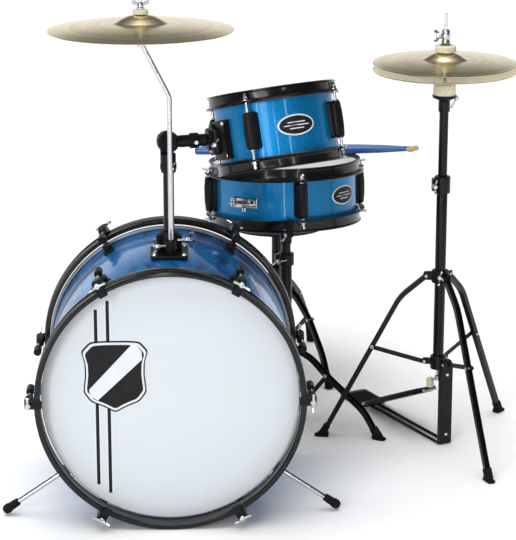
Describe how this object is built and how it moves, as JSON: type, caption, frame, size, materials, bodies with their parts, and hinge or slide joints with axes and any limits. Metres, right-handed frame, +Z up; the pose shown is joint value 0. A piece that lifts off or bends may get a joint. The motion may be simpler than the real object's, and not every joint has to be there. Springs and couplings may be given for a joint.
{
  "type": "acoustic drum kit",
  "caption": "Junior acoustic drum kit: bass drum with mounted tom and crash cymbal, snare on a folding stand, pedal hi-hat, round throne, bass pedal and two sticks.",
  "frame": {"origin": "centre of the kit's footprint, on the floor", "axes": "+Z up; the bass drum's front head faces -Y, the drummer sits towards +Y, and +X is the hi-hat's side"},
  "size_m": [0.9074, 1.0092, 0.843],
  "materials": {
    "bass_wrap": "glossy blue lacquered wrap",
    "drum_wrap": "blue sparkle wrap",
    "front_head": "smooth white film with black stripes and a shield",
    "drum_head": "coated white film",
    "hoop_black": "black enamelled steel",
    "cymbal_brass": "lathed brass",
    "felt": "pressed wool felt",
    "chrome": "polished chrome plate",
    "vinyl": "black vinyl over foam",
    "painted_stick": "blue lacquer with bare wood tips",
    "tube_black": "black powder coat",
    "bracket_black": "satin black paint"
  },
  "bodies": {
    "bass_drum": {"bass_shell": "bass_wrap", "bass_front_hoop": "hoop_black", "bass_back_hoop": "hoop_black", "bass_front_head": "front_head", "bass_back_head": "drum_head", "tom_crash_holder": "bracket_black", "pedal_frame": "bracket_black"},
    "spur_left": {"spur_left": "chrome"},
    "spur_right": {"spur_right": "chrome"},
    "tom_post": {"tom_post": "tube_black"},
    "tom_knuckle": {"tom_knuckle": "bracket_black"},
    "tom_arm": {"tom_arm": "bracket_black"},
    "tom": {"tom_bracket": "bracket_black", "tom_shell": "drum_wrap", "tom_top_head": "drum_head", "tom_bottom_head": "drum_head", "tom_top_hoop": "hoop_black", "tom_bottom_hoop": "hoop_black"},
    "crash_stand": {"crash_rod": "chrome"},
    "crash_sleeve": {"crash_sleeve": "felt"},
    "crash_cymbal": {"crash_cymbal": "cymbal_brass"},
    "snare_stand": {"snare_stand_tube": "tube_black"},
    "snare_post": {"snare_post": "tube_black"},
    "snare_basket": {"snare_basket": "bracket_black"},
    "snare_drum": {"snare_shell": "drum_wrap", "snare_top_head": "drum_head", "snare_bottom_head": "drum_head", "snare_top_hoop": "hoop_black", "snare_bottom_hoop": "hoop_black"},
    "snare_throw_off": {"snare_throw_off": "chrome"},
    "drumstick_a": {"drumstick_a": "painted_stick"},
    "drumstick_b": {"drumstick_b": "painted_stick"},
    "hat_stand": {"hat_base_tube": "tube_black"},
    "hat_upper_tube": {"hat_upper_tube": "tube_black"},
    "hat_pull_rod": {"hat_pull_rod": "chrome"},
    "hat_top_cymbal": {"hat_top_cymbal": "cymbal_brass"},
    "hat_bottom_cymbal": {"hat_bottom_cymbal": "cymbal_brass"},
    "hat_footboard": {"hat_footboard": "bracket_black"},
    "throne_base": {"throne_tube": "tube_black", "throne_leg_a": "bracket_black", "throne_leg_b": "bracket_black", "throne_leg_c": "bracket_black"},
    "throne_post": {"throne_post": "tube_black"},
    "throne_seat": {"throne_seat": "vinyl"},
    "pedal_footboard": {"pedal_footboard": "bracket_black"},
    "pedal_beater": {"pedal_beater": "chrome"},
    "snare_stand_collar": {"snare_stand_collar": "bracket_black"},
    "snare_stand_leg_a": {"snare_stand_leg_a": "bracket_black"},
    "snare_stand_brace_a": {"snare_stand_brace_a": "bracket_black"},
    "snare_stand_leg_b": {"snare_stand_leg_b": "bracket_black"},
    "snare_stand_brace_b": {"snare_stand_brace_b": "bracket_black"},
    "snare_stand_leg_c": {"snare_stand_leg_c": "bracket_black"},
    "snare_stand_brace_c": {"snare_stand_brace_c": "bracket_black"},
    "hat_collar": {"hat_collar": "bracket_black"},
    "hat_leg_a": {"hat_leg_a": "bracket_black"},
    "hat_brace_a": {"hat_brace_a": "bracket_black"},
    "hat_leg_b": {"hat_leg_b": "bracket_black"},
    "hat_brace_b": {"hat_brace_b": "bracket_black"},
    "hat_leg_c": {"hat_leg_c": "bracket_black"},
    "hat_brace_c": {"hat_brace_c": "bracket_black"}
  },
  "joints": [
    {"name": "spur_left_slide", "type": "slide", "parent": "bass_drum", "child": "spur_left", "axis": [0.8241, 0, 0.5664], "range_m": [0, 0.03]},
    {"name": "spur_right_slide", "type": "slide", "parent": "bass_drum", "child": "spur_right", "axis": [-0.8241, 0, 0.5664], "range_m": [0, 0.03]},
    {"name": "tom_post_height", "type": "slide", "parent": "bass_drum", "child": "tom_post", "axis": [0, 0, 1], "range_m": [-0.015, 0.02]},
    {"name": "tom_swivel", "type": "hinge", "parent": "tom_post", "child": "tom_knuckle", "pos_m": [-0.17166, -0.32665, 0.57], "axis": [0, 0, 1], "range_deg": [-20, 10]},
    {"name": "tom_tilt", "type": "hinge", "parent": "tom_knuckle", "child": "tom_arm", "pos_m": [-0.17166, -0.32665, 0.606], "axis": [-0.225, 0.9744, 0], "range_deg": [-8, 6]},
    {"name": "tom_roll", "type": "hinge", "parent": "tom_arm", "child": "tom", "pos_m": [-0.09371, -0.30865, 0.606], "axis": [0.9744, 0.225, 0], "range_deg": [-15, 8]},
    {"name": "crash_height", "type": "slide", "parent": "bass_drum", "child": "crash_stand", "axis": [0, 0, 1], "range_m": [-0.01, 0.05]},
    {"name": "crash_swing", "type": "hinge", "parent": "crash_stand", "child": "crash_sleeve", "pos_m": [-0.21266, -0.35665, 0.812], "axis": [1, 0, 0], "range_deg": [-5, 5]},
    {"name": "crash_spin", "type": "hinge", "parent": "crash_sleeve", "child": "crash_cymbal", "pos_m": [-0.21266, -0.35665, 0.805], "axis": [0, 0, 1], "continuous": true},
    {"name": "snare_stand_fold", "type": "slide", "parent": "snare_stand", "child": "snare_stand_collar", "axis": [0, 0, 1], "range_m": [0, 0.02]},
    {"name": "snare_stand_leg_a_fold", "type": "hinge", "parent": "snare_stand_collar", "child": "snare_stand_leg_a", "pos_m": [0.06071, 0.01144, 0.137], "axis": [0.5934, 0.8049, 0], "range_deg": [0, 13.19]},
    {"name": "snare_stand_brace_a_fold", "type": "hinge", "parent": "snare_stand", "child": "snare_stand_brace_a", "pos_m": [0.06071, 0.01144, 0.024], "axis": [0.5934, 0.8049, 0], "range_deg": [-7.23, 0]},
    {"name": "snare_stand_leg_b_fold", "type": "hinge", "parent": "snare_stand_collar", "child": "snare_stand_leg_b", "pos_m": [0.04199, 0.0543, 0.137], "axis": [-0.9938, 0.1115, 0], "range_deg": [0, 13.19]},
    {"name": "snare_stand_brace_b_fold", "type": "hinge", "parent": "snare_stand", "child": "snare_stand_brace_b", "pos_m": [0.04199, 0.0543, 0.024], "axis": [-0.9938, 0.1115, 0], "range_deg": [-7.23, 0]},
    {"name": "snare_stand_leg_c_fold", "type": "hinge", "parent": "snare_stand_collar", "child": "snare_stand_leg_c", "pos_m": [0.01424, 0.01666, 0.137], "axis": [0.4003, -0.9164, 0], "range_deg": [0, 13.19]},
    {"name": "snare_stand_brace_c_fold", "type": "hinge", "parent": "snare_stand", "child": "snare_stand_brace_c", "pos_m": [0.01424, 0.01666, 0.024], "axis": [0.4003, -0.9164, 0], "range_deg": [-7.23, 0]},
    {"name": "snare_stand_rise", "type": "slide", "parent": "bass_drum", "child": "snare_stand", "axis": [0, 0, 1], "range_m": [0, 0.0167]},
    {"name": "snare_height", "type": "slide", "parent": "snare_stand", "child": "snare_post", "axis": [0, 0, 1], "range_m": [-0.015, 0.035]},
    {"name": "snare_basket_tilt", "type": "hinge", "parent": "snare_post", "child": "snare_basket", "pos_m": [0.03898, 0.02747, 0.35637], "axis": [0, 0.9956, -0.0941], "range_deg": [-8, 8]},
    {"name": "snare_lift_off", "type": "slide", "parent": "snare_basket", "child": "snare_drum", "axis": [-0.0209, 0.0941, 0.9953], "range_m": [0, 0.05]},
    {"name": "snare_throw_off_lever", "type": "hinge", "parent": "snare_drum", "child": "snare_throw_off", "pos_m": [-0.05973, -0.06126, 0.43551], "axis": [-0.6017, -0.7963, 0.0626], "range_deg": [0, 35]},
    {"name": "drumstick_a_lift", "type": "slide", "parent": "snare_drum", "child": "drumstick_a", "axis": [-0.0209, 0.0941, 0.9953], "range_m": [0, 0.08]},
    {"name": "drumstick_b_lift", "type": "slide", "parent": "snare_drum", "child": "drumstick_b", "axis": [-0.0209, 0.0941, 0.9953], "range_m": [0, 0.08]},
    {"name": "hat_stand_place", "type": "slide", "parent": "bass_drum", "child": "hat_stand", "axis": [0, -1, 0], "range_m": [0, 0.12]},
    {"name": "hat_fold", "type": "slide", "parent": "hat_stand", "child": "hat_collar", "axis": [0, 0, 1], "range_m": [0, 0.055]},
    {"name": "hat_leg_a_fold", "type": "hinge", "parent": "hat_collar", "child": "hat_leg_a", "pos_m": [0.28037, -0.10441, 0.311], "axis": [-0.1891, -0.982, 0], "range_deg": [0, 9.18]},
    {"name": "hat_brace_a_fold", "type": "hinge", "parent": "hat_stand", "child": "hat_brace_a", "pos_m": [0.28037, -0.10441, 0.153], "axis": [-0.1891, -0.982, 0], "range_deg": [-28.98, 0]},
    {"name": "hat_leg_b_fold", "type": "hinge", "parent": "hat_collar", "child": "hat_leg_b", "pos_m": [0.31179, -0.13163, 0.311], "axis": [0.9449, 0.3272, 0], "range_deg": [0, 9.18]},
    {"name": "hat_brace_b_fold", "type": "hinge", "parent": "hat_stand", "child": "hat_brace_b", "pos_m": [0.31179, -0.13163, 0.153], "axis": [0.9449, 0.3272, 0], "range_deg": [-28.98, 0]},
    {"name": "hat_leg_c_fold", "type": "hinge", "parent": "hat_collar", "child": "hat_leg_c", "pos_m": [0.31965, -0.09081, 0.311], "axis": [-0.7559, 0.6547, 0], "range_deg": [0, 9.18]},
    {"name": "hat_brace_c_fold", "type": "hinge", "parent": "hat_stand", "child": "hat_brace_c", "pos_m": [0.31965, -0.09081, 0.153], "axis": [-0.7559, 0.6547, 0], "range_deg": [-28.98, 0]},
    {"name": "hat_height", "type": "slide", "parent": "hat_stand", "child": "hat_upper_tube", "axis": [0, 0, 1], "range_m": [0, 0.05]},
    {"name": "hat_pedal", "type": "hinge", "parent": "hat_stand", "child": "hat_footboard", "pos_m": [0.21013, 0.08339, 0.013], "axis": [-0.8988, -0.4384, 0], "range_deg": [0, 5], "stiffness_Nm_per_rad": 3, "springref_deg": -40.11},
    {"name": "hat_pull", "type": "slide", "parent": "hat_upper_tube", "child": "hat_pull_rod", "axis": [0, 0, -1], "range_m": [0, 0.0096]},
    {"name": "hat_top_spin", "type": "hinge", "parent": "hat_pull_rod", "child": "hat_top_cymbal", "pos_m": [0.30394, -0.10895, 0.7], "axis": [0, 0, 1], "continuous": true},
    {"name": "hat_bottom_spin", "type": "hinge", "parent": "hat_upper_tube", "child": "hat_bottom_cymbal", "pos_m": [0.30394, -0.10895, 0.668], "axis": [0, 0, 1], "continuous": true},
    {"name": "throne_place", "type": "slide", "parent": "bass_drum", "child": "throne_base", "axis": [0, 1, 0], "range_m": [0, 0.12]},
    {"name": "throne_height", "type": "slide", "parent": "throne_base", "child": "throne_post", "axis": [0, 0, 1], "range_m": [0, 0.04]},
    {"name": "throne_seat_spin", "type": "hinge", "parent": "throne_post", "child": "throne_seat", "pos_m": [0.03734, 0.33435, 0.303], "axis": [0, 0, 1], "continuous": true},
    {"name": "bass_pedal", "type": "hinge", "parent": "bass_drum", "child": "pedal_footboard", "pos_m": [-0.21966, 0.09135, 0.014], "axis": [1, 0, 0], "range_deg": [0, 9.8], "stiffness_Nm_per_rad": 2, "springref_deg": -34.38},
    {"name": "bass_beater", "type": "hinge", "parent": "bass_drum", "child": "pedal_beater", "pos_m": [-0.21966, -0.11265, 0.14], "axis": [1, 0, 0], "range_deg": [0, 56]}
  ],
  "couplings": [
    {"joint": "snare_stand_leg_a_fold", "follows": "snare_stand_fold", "rad_per_m": 11.281},
    {"joint": "snare_stand_brace_a_fold", "follows": "snare_stand_fold", "rad_per_m": -6.1836},
    {"joint": "snare_stand_leg_b_fold", "follows": "snare_stand_fold", "rad_per_m": 11.281},
    {"joint": "snare_stand_brace_b_fold", "follows": "snare_stand_fold", "rad_per_m": -6.1836},
    {"joint": "snare_stand_leg_c_fold", "follows": "snare_stand_fold", "rad_per_m": 11.281},
    {"joint": "snare_stand_brace_c_fold", "follows": "snare_stand_fold", "rad_per_m": -6.1836},
    {"joint": "snare_stand_rise", "follows": "snare_stand_fold", "ratio": 0.795},
    {"joint": "hat_leg_a_fold", "follows": "hat_fold", "rad_per_m": 2.8553},
    {"joint": "hat_brace_a_fold", "follows": "hat_fold", "rad_per_m": -9.0172},
    {"joint": "hat_leg_b_fold", "follows": "hat_fold", "rad_per_m": 2.8553},
    {"joint": "hat_brace_b_fold", "follows": "hat_fold", "rad_per_m": -9.0172},
    {"joint": "hat_leg_c_fold", "follows": "hat_fold", "rad_per_m": 2.8553},
    {"joint": "hat_brace_c_fold", "follows": "hat_fold", "rad_per_m": -9.0172},
    {"joint": "hat_pull", "follows": "hat_pedal", "m_per_rad": 0.1089},
    {"joint": "bass_beater", "follows": "bass_pedal", "ratio": 5.6}
  ]
}
